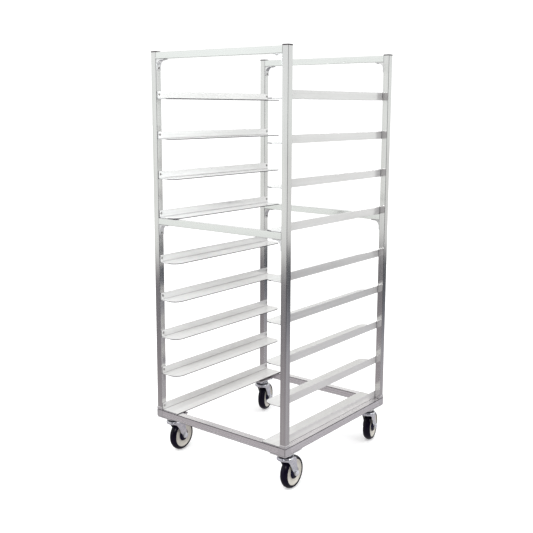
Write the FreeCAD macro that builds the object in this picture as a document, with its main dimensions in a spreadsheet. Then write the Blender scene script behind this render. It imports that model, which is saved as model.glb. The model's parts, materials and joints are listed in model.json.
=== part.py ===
"""End-load sheet pan rack on four swivel casters.

Frame of the part: +Z up, front opening towards -Y, +X to the right of the front opening.
The origin is on the floor, under the centre of the frame.
"""
import FreeCAD, Part
import os
import re
import Sketcher
from FreeCAD import Placement, Rotation, Vector

# Driving dimensions in millimetres (angles in degrees, levels as a count).
DIMENSIONS = {
    # frame, over the outside of the posts
    "rack_width": 650.0,
    "rack_depth": 692.0,
    "post_rise": 1419.5,
    "post_side": 25.4,
    "tube_wall": 1.6,
    "spigot_clearance": 0.2,
    "cap_thick": 4.0,
    "cap_overhang": 1.0,
    "cap_plug_depth": 12.0,
    # base frame and its corner castings
    "base_over": 1.5,
    "base_rail_width": 32.0,
    "base_rail_height": 28.5,
    "base_wall": 2.0,
    "upstand_height": 12.0,
    "post_spigot": 14.0,
    "rail_spigot": 25.0,
    "pad_width": 74.0,
    "pad_depth": 106.0,
    "pad_thick": 4.0,
    # angle slides
    "level_count": 9.0,
    "levels_above_mid": 4.0,
    "slide_pitch": 152.4,
    "slide_setback": 4.0,
    "ledge_width": 84.0,
    "ledge_thick": 3.0,
    "ledge_corner": 38.0,
    "web_height": 30.0,
    "web_thick": 2.5,
    "web_bend": 3.0,
    # corner gussets under the cross rails
    "gusset_arm": 40.0,
    "gusset_seat": 4.0,
    "gusset_fillet": 22.0,
    "gusset_width": 23.0,
    "gusset_rivet_at": 33.0,
    # rivets
    "rivet_shank": 2.4,
    "rivet_hole": 2.5,
    "rivet_head": 4.8,
    "rivet_dome": 1.8,
    "rivet_tail": 2.0,
    "rivet_height": 18.0,
    # casters
    "caster_height": 160.0,
    "caster_inset_x": 41.0,
    "caster_inset_y": 57.0,
    "caster_trail": 42.0,
    "plate_width": 63.5,
    "plate_depth": 92.0,
    "plate_thick": 3.0,
    "plate_corner": 8.0,
    "bolt_span_x": 44.4,
    "bolt_span_y": 73.0,
    "bolt_shank": 4.0,
    "bolt_hole": 4.1,
    "bolt_head_flats": 12.7,
    "bolt_head_height": 5.0,
    "raceway_radius": 26.0,
    "raceway_height": 16.0,
    "swivel_gap": 0.4,
    "king_pin": 6.0,
    "king_pin_head": 10.0,
    "king_pin_head_height": 3.6,
    "running_clearance": 0.05,
    "crown_radius": 33.0,
    "crown_height": 12.6,
    "crown_wall": 3.0,
    "crown_top": 3.5,
    "crown_chamfer": 6.0,
    "leg_inside": 19.5,
    "leg_thick": 3.0,
    "leg_root": 24.0,
    "leg_brow_along": -12.0,
    "leg_brow_up": 121.5,
    "leg_knee_along": 3.0,
    "leg_knee_up": 103.0,
    "leg_shin_along": 15.0,
    "leg_shin_up": 85.0,
    "leg_calf_along": 51.0,
    "leg_calf_up": 76.0,
    "leg_heel_along": 43.0,
    "leg_heel_up": 126.0,
    "leg_eye": 13.0,
    "axle_radius": 6.0,
    "axle_head_flats": 20.0,
    "axle_head_height": 6.5,
    "washer_radius": 12.0,
    "washer_thick": 1.5,
    "wheel_radius": 62.5,
    "tyre_width": 31.0,
    "tyre_crown": 20.0,
    "core_radius": 49.5,
    "core_rim_width": 28.0,
    "core_rim_wall": 5.0,
    "core_web": 10.0,
    "hub_radius": 15.0,
    "hub_width": 34.0,
    "guard_radius": 25.0,
    "guard_depth": 5.0,
    "guard_face": 2.0,
    # resting swivel angles, counter-clockwise seen from above
    "swivel_front_left": 4.0,
    "swivel_front_right": 4.0,
    "swivel_rear_left": 17.0,
    "swivel_rear_right": 14.0,
}

# Heights and places worked out from the driving dimensions.
BASE_BOTTOM = "(caster_height + pad_thick)"
BASE_TOP = "(caster_height + pad_thick + base_rail_height)"
POST_TOP = "(caster_height + pad_thick + base_rail_height + post_rise)"
MID_RAIL_TOP = "({} + (level_count - levels_above_mid) * slide_pitch + post_side)".format(BASE_TOP)
POST_X = "(rack_width / 2 - post_side / 2)"
POST_Y = "(rack_depth / 2 - post_side / 2)"
OUTER = "(post_side / 2 + base_over)"
PIVOT_X = "(rack_width / 2 + base_over - caster_inset_x)"
PIVOT_Y = "(rack_depth / 2 + base_over - caster_inset_y)"
CROWN_TOP = "(caster_height - plate_thick - raceway_height - swivel_gap)"
LEG_OUTSIDE = "(leg_inside + leg_thick)"

# name of each corner, with the signs of its X and Y
CORNERS = {
    "front_left": (-1, -1),
    "front_right": (1, -1),
    "rear_left": (-1, 1),
    "rear_right": (1, 1),
}

document = FreeCAD.newDocument("sheet_pan_rack")
sheet = document.addObject("Spreadsheet::Sheet", "Dims")
for row, (alias, number) in enumerate(DIMENSIONS.items(), start=1):
    sheet.set("A{}".format(row), alias)
    sheet.set("B{}".format(row), str(number))
    sheet.setAlias("B{}".format(row), alias)
document.recompute()

sub_parts = []


def bound(text):
    """Expression text with each alias pointing at the sheet's cell."""
    return re.sub(
        r"[a-z_]+",
        lambda word: "Dims." + word.group(0) if word.group(0) in DIMENSIONS else word.group(0),
        text,
    )


def size(text):
    """Present value of an expression over the sheet's cells."""
    return float(sheet.evalExpression(text))


def signed(sign, text):
    """The expression with a sign in front."""
    return "{} * {}".format(sign, text)


# ---------------------------------------------------------------- sketches and features


def new_body(label):
    body = document.addObject("PartDesign::Body", label)
    body.Label = label
    return body


def new_sketch(body, plane, offset="0"):
    """Empty sketch on one of the body's origin planes, moved along the plane's normal."""
    support = next(item for item in body.Origin.OriginFeatures if item.Role == plane)
    sketch = body.newObject("Sketcher::SketchObject", body.Name + "_sketch")
    sketch.AttachmentSupport = [(support, "")]
    sketch.MapMode = "FlatFace"
    sketch.setExpression("AttachmentOffset.Base.z", bound(offset))
    return sketch


def pin_point(sketch, geometry, point, place):
    """Tie a sketch point to a pair of expressions, measured from the sketch's origin."""
    for kind, text in zip(("DistanceX", "DistanceY"), place):
        index = sketch.addConstraint(
            Sketcher.Constraint(kind, -1, 1, geometry, point, size(text))
        )
        sketch.setExpression("Constraints[{}]".format(index), bound(text))


def add_outline(sketch, corners):
    """Closed run of straight lines through corners, each a pair of expressions."""
    first = sketch.GeometryCount
    count = len(corners)
    points = [Vector(size(across), size(along), 0) for across, along in corners]
    for step in range(count):
        sketch.addGeometry(Part.LineSegment(points[step], points[(step + 1) % count]), False)
    for step in range(count):
        following = first + (step + 1) % count
        sketch.addConstraint(Sketcher.Constraint("Coincident", first + step, 2, following, 1))
    for step, place in enumerate(corners):
        pin_point(sketch, first + step, 1, place)


def add_rectangle(sketch, low, high):
    """Rectangle from its low corner to its high corner."""
    add_outline(sketch, [low, (high[0], low[1]), high, (low[0], high[1])])


def add_centred(sketch, width, height):
    """Rectangle centred on the sketch's origin."""
    half = ("({}) / 2".format(width), "({}) / 2".format(height))
    low = tuple("-({})".format(text) for text in half)
    add_rectangle(sketch, low, half)


def add_circle(sketch, centre, radius):
    middle = Vector(size(centre[0]), size(centre[1]), 0)
    circle = sketch.addGeometry(Part.Circle(middle, Vector(0, 0, 1), size(radius)), False)
    pin_point(sketch, circle, 3, centre)
    index = sketch.addConstraint(Sketcher.Constraint("Radius", circle, size(radius)))
    sketch.setExpression("Constraints[{}]".format(index), bound(radius))


def pad(body, sketch, length, centred=False):
    """Extrude a sketch along its normal, or half each way."""
    feature = body.newObject("PartDesign::Pad", body.Name + "_pad")
    feature.Profile = sketch
    if centred:
        feature.SideType = "Symmetric"
    feature.setExpression("Length", bound(length))
    document.recompute()
    return feature


def pocket(body, sketch, depth):
    """Cut a sketch into the body against its normal, and make sure that it cut."""
    before = body.Shape.Volume
    feature = body.newObject("PartDesign::Pocket", body.Name + "_pocket")
    feature.Profile = sketch
    feature.setExpression("Length", bound(depth))
    document.recompute()
    if not body.Shape.Volume < before:
        raise RuntimeError("{} cut nothing".format(feature.Label))
    return feature


def revolve(body, sketch, axis):
    """Turn a sketch once about its own H_Axis or V_Axis."""
    feature = body.newObject("PartDesign::Revolution", body.Name + "_turned")
    feature.Profile = sketch
    feature.ReferenceAxis = (sketch, [axis])
    feature.Angle = 360
    document.recompute()
    return feature


def dress(body, kind, radius, chosen):
    """Fillet or chamfer the edges for which chosen(edge) is true."""
    base = body.Tip
    names = [
        "Edge{}".format(number)
        for number, edge in enumerate(base.Shape.Edges, start=1)
        if chosen(edge)
    ]
    feature = body.newObject("PartDesign::" + kind, body.Name + "_" + kind.lower())
    feature.Base = (base, names)
    feature.setExpression("Radius" if kind == "Fillet" else "Size", bound(radius))
    document.recompute()
    return feature


def is_upright(edge):
    """True for a straight edge along Z."""
    run = edge.BoundBox
    return run.XLength < 0.01 and run.YLength < 0.01 and run.ZLength > 0.5


def put(thing, east, north, up, turn="0"):
    """Bind an object's Placement: a place, and a turn about Z in degrees."""
    for name, text in zip(("x", "y", "z"), (east, north, up)):
        thing.setExpression("Placement.Base." + name, bound(text))
    thing.setExpression("Placement.Rotation.Angle", bound(turn) + " * 1deg")


def group(label, master, places):
    """One node that holds separate copies of a master piece at the given Placements."""
    links = []
    for count, place in enumerate(places, start=1):
        link = document.addObject("App::Link", "{}_{}".format(label, count))
        link.LinkedObject = master
        link.Placement = place
        links.append(link)
    node = document.addObject("Part::Compound", label)
    node.Label = label
    node.Links = links
    sub_parts.append(node)
    return node


def tube(label, plane, width, height, wall, length):
    """Rectangular tube centred on its own origin, along the plane's normal."""
    body = new_body(label)
    sketch = new_sketch(body, plane)
    add_centred(sketch, width, height)
    add_centred(sketch, "{} - 2 * {}".format(width, wall), "{} - 2 * {}".format(height, wall))
    pad(body, sketch, length, centred=True)
    sub_parts.append(body)
    return body


# ---------------------------------------------------------------- frame


def slide_underside(level):
    """Height of a ledge's underside: level 1 is the top pair, the last lies on the base."""
    rise = "{} + (level_count - {}) * slide_pitch".format(BASE_TOP, level)
    if level <= size("levels_above_mid"):
        rise += " + post_side"
    return rise


def make_post(name, sign_x, sign_y):
    """Square tube with a row of rivet holes in the wall that faces the opening."""
    body = new_body("post_" + name)
    outline = new_sketch(body, "XY_Plane")
    add_centred(outline, "post_side", "post_side")
    add_centred(outline, "post_side - 2 * tube_wall", "post_side - 2 * tube_wall")
    pad(body, outline, "post_rise")
    holes = new_sketch(body, "YZ_Plane", "post_side / 2")
    levels = range(1, int(size("level_count")) + 1)
    heights = ["{} + rivet_height".format(slide_underside(level)) for level in levels]
    heights += ["{} - post_side - gusset_rivet_at".format(top) for top in (POST_TOP, MID_RAIL_TOP)]
    for height in heights:
        add_circle(holes, ("0", "{} - {}".format(height, BASE_TOP)), "rivet_hole")
    pocket(body, holes, "2 * tube_wall")
    put(body, signed(sign_x, POST_X), signed(sign_y, POST_Y), BASE_TOP, "0" if sign_x < 0 else "180")
    sub_parts.append(body)


def make_cross_rail(name, sign_y, top):
    """Square tube between two posts, with a rivet hole under each end for its gussets."""
    length = "(rack_width - 2 * post_side)"
    body = tube(name, "YZ_Plane", "post_side", "post_side", "tube_wall", length)
    holes = new_sketch(body, "XY_Plane", "2 * tube_wall - post_side / 2")
    for side in (-1, 1):
        place = "{} * ({} / 2 - gusset_rivet_at)".format(side, length)
        add_circle(holes, (place, "0"), "rivet_hole")
    pocket(body, holes, "2 * tube_wall")
    put(body, "0", signed(sign_y, POST_Y), "{} - post_side / 2".format(top))


def make_post_caps():
    """Four square caps, each with a plug that fills the top of its post."""
    cap = new_body("post_cap")
    lid = new_sketch(cap, "XY_Plane")
    add_centred(lid, "post_side + 2 * cap_overhang", "post_side + 2 * cap_overhang")
    pad(cap, lid, "cap_thick")
    top = size("cap_thick")
    dress(cap, "Chamfer", "cap_thick / 3", lambda edge: edge.BoundBox.ZMin > top - 0.01)
    plug = new_sketch(cap, "XY_Plane", "-cap_plug_depth")
    bore = "post_side - 2 * tube_wall - 2 * spigot_clearance"
    add_centred(plug, bore, bore)
    pad(cap, plug, "cap_plug_depth")
    places = [
        Placement(
            Vector(sign_x * size(POST_X), sign_y * size(POST_Y), size(POST_TOP)), Rotation()
        )
        for sign_x, sign_y in CORNERS.values()
    ]
    group("post_caps", cap, places)


def make_gussets():
    """Eight cast corner gussets: two thin arms joined by a curve, with a rivet hole in each."""
    gusset = new_body("gusset")
    block = new_sketch(gusset, "XZ_Plane")
    add_rectangle(block, ("0", "-gusset_arm"), ("gusset_arm", "0"))
    pad(gusset, block, "gusset_width", centred=True)
    hollow = new_sketch(gusset, "XZ_Plane", "gusset_width")
    add_rectangle(hollow, ("gusset_seat", "-2 * gusset_arm"), ("2 * gusset_arm", "-gusset_seat"))
    pocket(gusset, hollow, "2 * gusset_width")
    seat = size("gusset_seat")

    def inner_corner(edge):
        box = edge.BoundBox
        gaps = (box.XMin - seat, box.XMax - seat, box.ZMin + seat, box.ZMax + seat)
        return max(abs(gap) for gap in gaps) < 0.01

    dress(gusset, "Fillet", "gusset_fillet", inner_corner)
    for plane, start, place in (
        ("YZ_Plane", "gusset_arm", ("0", "-gusset_rivet_at")),
        ("XY_Plane", "0", ("gusset_rivet_at", "0")),
    ):
        hole = new_sketch(gusset, plane, start)
        add_circle(hole, place, "rivet_hole")
        pocket(gusset, hole, "gusset_arm")
    places = []
    for top in (POST_TOP, MID_RAIL_TOP):
        for sign_x, sign_y in CORNERS.values():
            corner = Vector(
                sign_x * size("rack_width / 2 - post_side"),
                sign_y * size(POST_Y),
                size(top + " - post_side"),
            )
            places.append(Placement(corner, Rotation(Vector(0, 0, 1), 0 if sign_x < 0 else 180)))
    group("gussets", gusset, places)
    return places


def make_rivet(label, grip):
    """Domed rivet along X: its head is at +X of the seat, its shank reaches through the grip."""
    body = new_body(label)
    profile = new_sketch(body, "XZ_Plane")
    add_outline(
        profile,
        [
            ("-({} + rivet_tail)".format(grip), "0"),
            ("rivet_dome", "0"),
            ("rivet_dome", "rivet_head / 2"),
            ("rivet_dome / 2", "0.85 * rivet_head"),
            ("0", "rivet_head"),
            ("0", "rivet_shank"),
            ("-({} + rivet_tail)".format(grip), "rivet_shank"),
        ],
    )
    revolve(body, profile, "H_Axis")
    return body


def make_slide(side, level):
    """Angle slide: an upright web on the posts and a wide ledge towards the opening."""
    body = new_body("slide_{}_{}".format(side, level))
    section = new_sketch(body, "XZ_Plane")
    add_outline(
        section,
        [
            ("0", "0"),
            ("ledge_width", "0"),
            ("ledge_width", "ledge_thick"),
            ("web_thick", "ledge_thick"),
            ("web_thick", "web_height"),
            ("0", "web_height"),
        ],
    )
    pad(body, section, "rack_depth - 2 * slide_setback", centred=True)
    bend_x, bend_z = size("web_thick"), size("ledge_thick")

    def is_bend(edge):
        middle = edge.BoundBox.Center
        along = edge.BoundBox.YLength > 10
        return along and abs(middle.x - bend_x) < 0.01 and abs(middle.z - bend_z) < 0.01

    dress(body, "Fillet", "web_bend", is_bend)
    if level < size("level_count"):
        tip = size("ledge_width")
        dress(
            body, "Fillet", "ledge_corner",
            lambda edge: is_upright(edge) and edge.BoundBox.XMin > tip - 0.01,
        )
    holes = new_sketch(body, "YZ_Plane", "2 * web_thick")
    for end in (-1, 1):
        add_circle(holes, (signed(end, POST_Y), "rivet_height"), "rivet_hole")
    pocket(body, holes, "3 * web_thick")
    sign_x = -1 if side == "left" else 1
    turn = "0" if side == "left" else "180"
    put(body, signed(sign_x, "(rack_width / 2 - post_side)"), "0", slide_underside(level), turn)
    sub_parts.append(body)


def make_slide_rivets():
    """One rivet through each slide's web into each post."""
    rivet = make_rivet("slide_rivet", "(web_thick + tube_wall)")
    seat_x = size("rack_width / 2 - post_side - web_thick")
    places = []
    for level in range(1, int(size("level_count")) + 1):
        height = size("{} + rivet_height".format(slide_underside(level)))
        for sign_x, sign_y in CORNERS.values():
            seat = Vector(sign_x * seat_x, sign_y * size(POST_Y), height)
            places.append(Placement(seat, Rotation(Vector(0, 0, 1), 0 if sign_x < 0 else 180)))
    group("slide_rivets", rivet, places)


def make_gusset_rivets(gusset_places):
    """Two rivets in each gusset: one sideways into the post, one up into the rail."""
    rivet = make_rivet("gusset_rivet", "(gusset_seat + tube_wall)")
    seat, away = size("gusset_seat"), size("gusset_rivet_at")
    sideways = Placement(Vector(seat, 0, -away), Rotation())
    upwards = Placement(Vector(away, 0, -seat), Rotation(Vector(0, 1, 0), 90))
    places = [place.multiply(own) for place in gusset_places for own in (sideways, upwards)]
    group("gusset_rivets", rivet, places)


# ---------------------------------------------------------------- base


def make_base_corner(name, sign_x, sign_y):
    """Corner casting: a block with spigots for the post and two rails, and a caster pad."""
    body = new_body("base_corner_" + name)

    def at(x, y):
        return signed(sign_x, "({})".format(x)), signed(sign_y, "({})".format(y))

    inner = "{} - base_rail_width".format(OUTER)
    block = new_sketch(body, "XY_Plane")
    add_rectangle(block, at(inner, inner), at(OUTER, OUTER))
    pad(body, block, "base_rail_height")

    upstand = new_sketch(body, "XY_Plane", "base_rail_height")
    face, end = "post_side / 2", "-post_side / 2"
    add_outline(
        upstand,
        [at(end, face), at(face, face), at(face, end), at(OUTER, end), at(OUTER, OUTER), at(end, OUTER)],
    )
    pad(body, upstand, "upstand_height")

    spigot = new_sketch(body, "XY_Plane", "base_rail_height")
    bore = "post_side - 2 * tube_wall - 2 * spigot_clearance"
    add_centred(spigot, bore, bore)
    pad(body, spigot, "post_spigot")

    # Rail spigots fill the bores of the two base rails that meet here.
    edge = "(base_wall + spigot_clearance)"
    near, far = "{} - {}".format(OUTER, edge), "{} + {}".format(inner, edge)
    tongue = new_sketch(body, "XY_Plane", edge)
    add_outline(
        tongue,
        [
            at(near, near),
            at("{} - rail_spigot".format(inner), near),
            at("{} - rail_spigot".format(inner), far),
            at(far, far),
            at(far, "{} - rail_spigot".format(inner)),
            at(near, "{} - rail_spigot".format(inner)),
        ],
    )
    pad(body, tongue, "base_rail_height - 2 * {}".format(edge))

    shelf = new_sketch(body, "XY_Plane", "-pad_thick")
    add_rectangle(
        shelf, at("{} - pad_width".format(OUTER), "{} - pad_depth".format(OUTER)), at(OUTER, OUTER)
    )
    pad(body, shelf, "pad_thick")
    holes = new_sketch(body, "XY_Plane")
    for across in (-1, 1):
        for along in (-1, 1):
            centre = at(
                "{} - caster_inset_x + {} * bolt_span_x / 2".format(OUTER, across),
                "{} - caster_inset_y + {} * bolt_span_y / 2".format(OUTER, along),
            )
            add_circle(holes, centre, "bolt_hole")
    pocket(body, holes, "pad_thick")
    put(body, signed(sign_x, POST_X), signed(sign_y, POST_Y), BASE_BOTTOM)
    sub_parts.append(body)


def make_base_rails():
    """Four rectangular tubes between the corner castings."""
    middle = "{} + base_rail_height / 2".format(BASE_BOTTOM)
    across = "rack_width + 2 * base_over - 2 * base_rail_width"
    along = "rack_depth + 2 * base_over - 2 * base_rail_width"
    inset = "(base_over - base_rail_width / 2)"
    section = ("base_rail_width", "base_rail_height", "base_wall")
    for name, sign in (("front", -1), ("rear", 1)):
        rail = tube("base_rail_" + name, "YZ_Plane", *section, across)
        put(rail, "0", signed(sign, "(rack_depth / 2 + {})".format(inset)), middle)
    for name, sign in (("left", -1), ("right", 1)):
        rail = tube("base_rail_" + name, "XZ_Plane", *section, along)
        put(rail, signed(sign, "(rack_width / 2 + {})".format(inset)), "0", middle)


# ---------------------------------------------------------------- casters
# Each caster is modelled about its own swivel axis, with the wheel trailing towards +Y.


def make_caster_plates():
    """Four top plates, each with its raceway and the king pin that carries the fork."""
    plate = new_body("caster_plate")
    flat = new_sketch(plate, "XY_Plane", "caster_height - plate_thick")
    add_centred(flat, "plate_width", "plate_depth")
    for across in (-1, 1):
        for along in (-1, 1):
            centre = ("{} * bolt_span_x / 2".format(across), "{} * bolt_span_y / 2".format(along))
            add_circle(flat, centre, "bolt_hole")
    pad(plate, flat, "plate_thick")
    dress(plate, "Fillet", "plate_corner", is_upright)
    crown_inside = "{} - crown_top - swivel_gap".format(CROWN_TOP)
    steps = [
        ("raceway_radius", "caster_height - plate_thick - raceway_height", "raceway_height"),
        ("king_pin", crown_inside, "crown_top + 2 * swivel_gap"),
        ("king_pin_head", crown_inside + " - king_pin_head_height", "king_pin_head_height"),
    ]
    for radius, bottom, height in steps:
        disc = new_sketch(plate, "XY_Plane", bottom)
        add_circle(disc, ("0", "0"), radius)
        pad(plate, disc, height)
    group("caster_plates", plate, [pivot_place(name) for name in CORNERS])


def pivot_place(name):
    """Placement of a caster's plate: its swivel axis on the floor, with no turn."""
    sign_x, sign_y = CORNERS[name]
    return Placement(Vector(sign_x * size(PIVOT_X), sign_y * size(PIVOT_Y), 0), Rotation())


def hexagon(flats):
    """Corners of a hexagon, as expressions of its width across the flats."""
    half, side = "{} / 2".format(flats), "{} / sqrt(3)".format(flats)
    return [
        (side, "0"),
        ("{} / 2".format(side), half),
        ("-{} / 2".format(side), half),
        ("-{}".format(side), "0"),
        ("-{} / 2".format(side), "-{}".format(half)),
        ("{} / 2".format(side), "-{}".format(half)),
    ]


def make_plate_bolts():
    """Sixteen hexagon bolts, driven up through the plates into the pads."""
    bolt = new_body("plate_bolt")
    head = new_sketch(bolt, "XY_Plane", "-bolt_head_height")
    add_outline(head, hexagon("bolt_head_flats"))
    pad(bolt, head, "bolt_head_height")
    shank = new_sketch(bolt, "XY_Plane")
    add_circle(shank, ("0", "0"), "bolt_shank")
    pad(bolt, shank, "plate_thick + pad_thick")
    places = []
    for name in CORNERS:
        pivot = pivot_place(name).Base
        for across in (-1, 1):
            for along in (-1, 1):
                offset = Vector(
                    across * size("bolt_span_x / 2"),
                    along * size("bolt_span_y / 2"),
                    size("caster_height - plate_thick"),
                )
                places.append(Placement(pivot + offset, Rotation()))
    group("plate_bolts", bolt, places)


def put_on_swivel(body, name):
    """Place a piece modelled about the swivel axis."""
    sign_x, sign_y = CORNERS[name]
    put(body, signed(sign_x, PIVOT_X), signed(sign_y, PIVOT_Y), "0", "swivel_" + name)
    sub_parts.append(body)


def put_on_axle(body, name):
    """Place a piece modelled about the axle, at the wheel's centre."""
    sign_x, sign_y = CORNERS[name]
    turn = "swivel_{} * 1deg".format(name)
    put(
        body,
        "{} - caster_trail * sin({})".format(signed(sign_x, PIVOT_X), turn),
        "{} + caster_trail * cos({})".format(signed(sign_y, PIVOT_Y), turn),
        "wheel_radius",
        "swivel_" + name,
    )
    sub_parts.append(body)


def make_fork(name):
    """Pressed fork: a dished crown on the king pin and two legs down to the axle."""
    body = new_body("fork_" + name)
    bore = "king_pin + running_clearance"
    inside = "crown_radius - crown_wall"
    rim = "{} - crown_height".format(CROWN_TOP)
    ceiling = "{} - crown_top".format(CROWN_TOP)
    crown = new_sketch(body, "XZ_Plane")
    add_outline(
        crown,
        [
            (bore, CROWN_TOP),
            ("crown_radius - crown_chamfer", CROWN_TOP),
            ("crown_radius", "{} - crown_chamfer".format(CROWN_TOP)),
            ("crown_radius", rim),
            (inside, rim),
            (inside, "{} - crown_wall".format(ceiling)),
            ("{} - crown_wall".format(inside), ceiling),
            (bore, ceiling),
        ],
    )
    revolve(body, crown, "V_Axis")
    top = "{} - crown_top / 2".format(CROWN_TOP)
    for inner_face in ("leg_inside", "-{}".format(LEG_OUTSIDE)):
        leg = new_sketch(body, "YZ_Plane", inner_face)
        add_outline(
            leg,
            [
                ("-leg_root", top),
                ("-leg_root", rim),
                ("leg_brow_along", "leg_brow_up"),
                ("leg_knee_along", "leg_knee_up"),
                ("leg_shin_along", "leg_shin_up"),
                ("caster_trail - leg_eye", "wheel_radius"),
                ("caster_trail + leg_eye", "wheel_radius"),
                ("leg_calf_along", "leg_calf_up"),
                ("leg_heel_along", "leg_heel_up"),
                ("leg_root", top),
            ],
        )
        pad(body, leg, "leg_thick")
        eye = new_sketch(body, "YZ_Plane", inner_face)
        add_circle(eye, ("caster_trail", "wheel_radius"), "leg_eye")
        pad(body, eye, "leg_thick")
    hole = new_sketch(body, "YZ_Plane", LEG_OUTSIDE)
    add_circle(hole, ("caster_trail", "wheel_radius"), "axle_radius + running_clearance")
    pocket(body, hole, "2 * {}".format(LEG_OUTSIDE))
    put_on_swivel(body, name)


def make_axle(name):
    """Axle bolt with its hexagon head, and the nut with its washer face on the far end."""
    body = new_body("axle_" + name)
    shank = new_sketch(body, "YZ_Plane")
    add_circle(shank, ("0", "0"), "axle_radius")
    pad(body, shank, "2 * {}".format(LEG_OUTSIDE), centred=True)
    washers = (LEG_OUTSIDE, "-({} + washer_thick)".format(LEG_OUTSIDE))
    heads = (
        "{} + washer_thick".format(LEG_OUTSIDE),
        "-({} + washer_thick + axle_head_height)".format(LEG_OUTSIDE),
    )
    for washer_at, head_at in zip(washers, heads):
        washer = new_sketch(body, "YZ_Plane", washer_at)
        add_circle(washer, ("0", "0"), "washer_radius")
        pad(body, washer, "washer_thick")
        head = new_sketch(body, "YZ_Plane", head_at)
        add_outline(head, hexagon("axle_head_flats"))
        pad(body, head, "axle_head_height")
    put_on_axle(body, name)


def make_wheel_core(name):
    """Moulded wheel centre: hub, thin web and the rim that holds the tyre."""
    body = new_body("wheel_core_" + name)
    profile = new_sketch(body, "XZ_Plane")
    half = [
        ("hub_width / 2", "axle_radius + running_clearance"),
        ("hub_width / 2", "hub_radius"),
        ("core_web / 2", "hub_radius + 3"),
        ("core_web / 2", "core_radius - core_rim_wall - 4"),
        ("core_rim_width / 2", "core_radius - core_rim_wall"),
        ("core_rim_width / 2", "core_radius"),
    ]
    mirrored = [("-{}".format(axial), radial) for axial, radial in reversed(half)]
    add_outline(profile, half + mirrored)
    revolve(body, profile, "H_Axis")
    put_on_axle(body, name)


def make_tyre(name):
    """Solid tyre: flat sides and a tread that is one arc across."""
    body = new_body("tyre_" + name)
    profile = new_sketch(body, "XZ_Plane")
    middle = "(wheel_radius - tyre_crown)"
    shoulder = "{} + sqrt(tyre_crown ^ 2 - tyre_width ^ 2 / 4)".format(middle)
    right = [("tyre_width / 2", "core_radius"), ("tyre_width / 2", shoulder)]
    left = [("-tyre_width / 2", along) for across, along in reversed(right)]
    corners = right + left
    points = [Vector(size(across), size(along), 0) for across, along in corners]
    crest = Vector(0, size("wheel_radius"), 0)
    for shape in (
        Part.LineSegment(points[0], points[1]),
        Part.Arc(points[1], crest, points[2]),
        Part.LineSegment(points[2], points[3]),
        Part.LineSegment(points[3], points[0]),
    ):
        profile.addGeometry(shape, False)
    for line in (0, 2):
        pin_point(profile, line, 1, corners[line])
        pin_point(profile, line, 2, corners[line + 1])
    for first, second in (((0, 2), (1, 1)), ((1, 2), (2, 1)), ((2, 2), (3, 1)), ((3, 2), (0, 1))):
        profile.addConstraint(Sketcher.Constraint("Coincident", *first, *second))
    index = profile.addConstraint(Sketcher.Constraint("Radius", 1, size("tyre_crown")))
    profile.setExpression("Constraints[{}]".format(index), bound("tyre_crown"))
    revolve(body, profile, "H_Axis")
    put_on_axle(body, name)


def make_thread_guards(name):
    """Two dished discs that cover the ends of the hub."""
    label = "thread_guards_" + name
    guard = new_body("thread_guard_" + name)
    seat = "(hub_width / 2)"
    profile = new_sketch(guard, "XZ_Plane")
    add_outline(
        profile,
        [
            (seat, "axle_radius + 0.5"),
            ("{} + guard_face".format(seat), "axle_radius + 0.5"),
            ("{} + guard_face".format(seat), "guard_radius - guard_face"),
            ("{} - guard_depth".format(seat), "guard_radius"),
            ("{} - guard_depth".format(seat), "guard_radius - guard_face"),
            (seat, "guard_radius - 2 * guard_face"),
        ],
    )
    revolve(guard, profile, "H_Axis")
    sign_x, sign_y = CORNERS[name]
    angle = size("swivel_" + name)
    turned = Rotation(Vector(0, 0, 1), angle)
    trail = turned.multVec(Vector(0, size("caster_trail"), size("wheel_radius")))
    centre = pivot_place(name).Base + trail
    places = [
        Placement(centre, Rotation(Vector(0, 0, 1), angle + flip)) for flip in (0, 180)
    ]
    group(label, guard, places)


# ---------------------------------------------------------------- assembly


def build():
    for name, (sign_x, sign_y) in CORNERS.items():
        make_post(name, sign_x, sign_y)
        make_base_corner(name, sign_x, sign_y)
    make_post_caps()
    for name, sign_y in (("front", -1), ("rear", 1)):
        make_cross_rail("top_rail_" + name, sign_y, POST_TOP)
        make_cross_rail("mid_rail_" + name, sign_y, MID_RAIL_TOP)
    make_gusset_rivets(make_gussets())
    for side in ("left", "right"):
        for level in range(1, int(size("level_count")) + 1):
            make_slide(side, level)
    make_slide_rivets()
    make_base_rails()
    make_caster_plates()
    make_plate_bolts()
    for name in CORNERS:
        make_fork(name)
        make_axle(name)
        make_wheel_core(name)
        make_tyre(name)
        make_thread_guards(name)
    document.recompute()


def check():
    """Stop if any object failed or any sub-part is empty or invalid."""
    for item in document.Objects:
        if {"Invalid", "Error"} & set(item.State):
            raise RuntimeError("{} failed: {}".format(item.Label, item.State))
    for node in sub_parts:
        if node.Shape.isNull() or not node.Shape.isValid():
            raise RuntimeError("{} has a bad shape".format(node.Label))


def export():
    os.makedirs("parts", exist_ok=True)
    for node in sub_parts:
        node.Shape.exportStep(os.path.join("parts", node.Label + ".step"))
        solids = len(node.Shape.Solids)
        print("{:28s} solids {:3d}  volume {:12.1f}".format(node.Label, solids, node.Shape.Volume))
    print("sub-parts:", len(sub_parts))


build()
check()
export()
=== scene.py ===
import json
import math

import bmesh
import bpy
from mathutils import Matrix, Vector


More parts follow.
